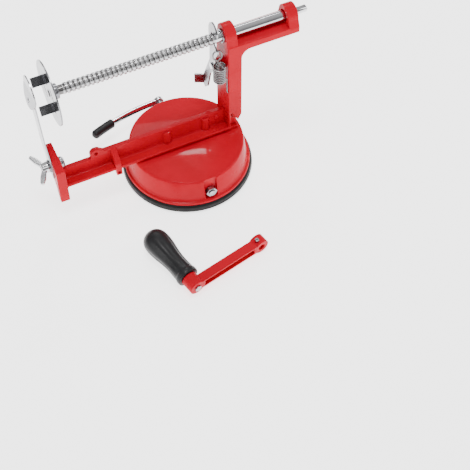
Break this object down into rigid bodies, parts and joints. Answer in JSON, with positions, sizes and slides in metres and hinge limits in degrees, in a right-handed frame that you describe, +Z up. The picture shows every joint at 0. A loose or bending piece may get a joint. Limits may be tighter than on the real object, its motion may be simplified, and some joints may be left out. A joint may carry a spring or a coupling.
{
  "type": "spiral potato slicer",
  "caption": "Hand-cranked spiral slicer on a red cast frame: suction base, threaded spindle with pronged disc, swivelling slit blade and a loose crank.",
  "frame": {"origin": "centre of the rubber base's underside, on the surface that it stands on", "axes": "+X along the spindle towards the crank stub, +Y to the back where the suction lever is, +Z up"},
  "size_m": [0.2666, 0.2138, 0.1734],
  "materials": {
    "red_enamel": "glossy sprayed enamel on a casting",
    "black_rubber": "matt moulded rubber",
    "zinc_steel": "bright zinc plate, slightly grained",
    "chrome": "polished plate with fine scratches",
    "blade_steel": "cold-rolled stainless sheet",
    "spring_steel": "drawn spring wire",
    "black_grip": "dipped vinyl cap",
    "black_plastic": "moulded, satin gloss"
  },
  "bodies": {
    "frame": {"base_housing": "red_enamel", "suction_cup": "black_rubber", "base_screws": "zinc_steel", "frame_casting": "red_enamel", "front_bush": "zinc_steel", "blade_bolt": "zinc_steel", "lever_pivot": "chrome", "return_spring": "spring_steel"},
    "suction_lever": {"cam_shaft": "zinc_steel", "shaft_nut": "zinc_steel", "suction_lever": "chrome", "lever_cap": "black_grip"},
    "cup_lifter": {"cup_stud": "zinc_steel"},
    "blade": {"spiral_blade": "blade_steel"},
    "nut_washer": {"bolt_washer": "zinc_steel"},
    "wing_nut": {"wing_nut": "chrome"},
    "spindle_slide": {"holder_washer": "zinc_steel"},
    "spindle": {"spindle_rod": "chrome", "holder_disc": "blade_steel"},
    "release_lever": {"release_lever": "zinc_steel"},
    "crank": {"crank_arm": "red_enamel", "crank_set_screw": "zinc_steel", "grip_rivet": "zinc_steel"},
    "crank_grip": {"crank_grip": "black_plastic"}
  },
  "joints": [
    {"name": "suction_lever_turn", "type": "hinge", "parent": "frame", "child": "suction_lever", "pos_m": [0, 0, 0.019], "axis": [0, 1, 0], "range_deg": [0, 95]},
    {"name": "cup_lift", "type": "slide", "parent": "frame", "child": "cup_lifter", "axis": [0, 0, 1], "range_m": [0, 0.0031]},
    {"name": "blade_swivel", "type": "hinge", "parent": "frame", "child": "blade", "pos_m": [-0.1294, 0.00535, 0.056], "axis": [1, 0, 0], "range_deg": [-90, 90]},
    {"name": "nut_travel", "type": "slide", "parent": "frame", "child": "nut_washer", "axis": [-1, 0, 0], "range_m": [0, 0.0024]},
    {"name": "nut_turn", "type": "hinge", "parent": "nut_washer", "child": "wing_nut", "pos_m": [-0.1335, 0.00535, 0.056], "axis": [-1, 0, 0], "range_deg": [0, 1080]},
    {"name": "spindle_feed", "type": "slide", "parent": "frame", "child": "spindle_slide", "axis": [1, 0, 0], "range_m": [0, 0.1176]},
    {"name": "spindle_spin", "type": "hinge", "parent": "spindle_slide", "child": "spindle", "pos_m": [0, 0.00535, 0.1443], "axis": [1, 0, 0], "range_deg": [0, 10080]},
    {"name": "release_turn", "type": "hinge", "parent": "frame", "child": "release_lever", "pos_m": [0.03295, 0.0094, 0.1076], "axis": [1, 0, 0], "range_deg": [-8, 0], "stiffness_Nm_per_rad": 0.3, "springref_deg": 5.73, "deforming": ["return_spring"]},
    {"name": "crank_lift", "type": "slide", "parent": "frame", "child": "crank", "axis": [0, 0, 1], "range_m": [0, 0.25]},
    {"name": "grip_spin", "type": "hinge", "parent": "crank", "child": "crank_grip", "pos_m": [-0.0525, -0.1414, 0.00966], "axis": [-0.2281, 0.9727, 0.0433], "continuous": true}
  ],
  "couplings": [
    {"joint": "cup_lift", "follows": "suction_lever_turn", "m_per_rad": 0.00181},
    {"joint": "nut_travel", "follows": "nut_turn", "m_per_rad": 0.00012732},
    {"joint": "spindle_feed", "follows": "spindle_spin", "m_per_rad": 0.00066845}
  ]
}
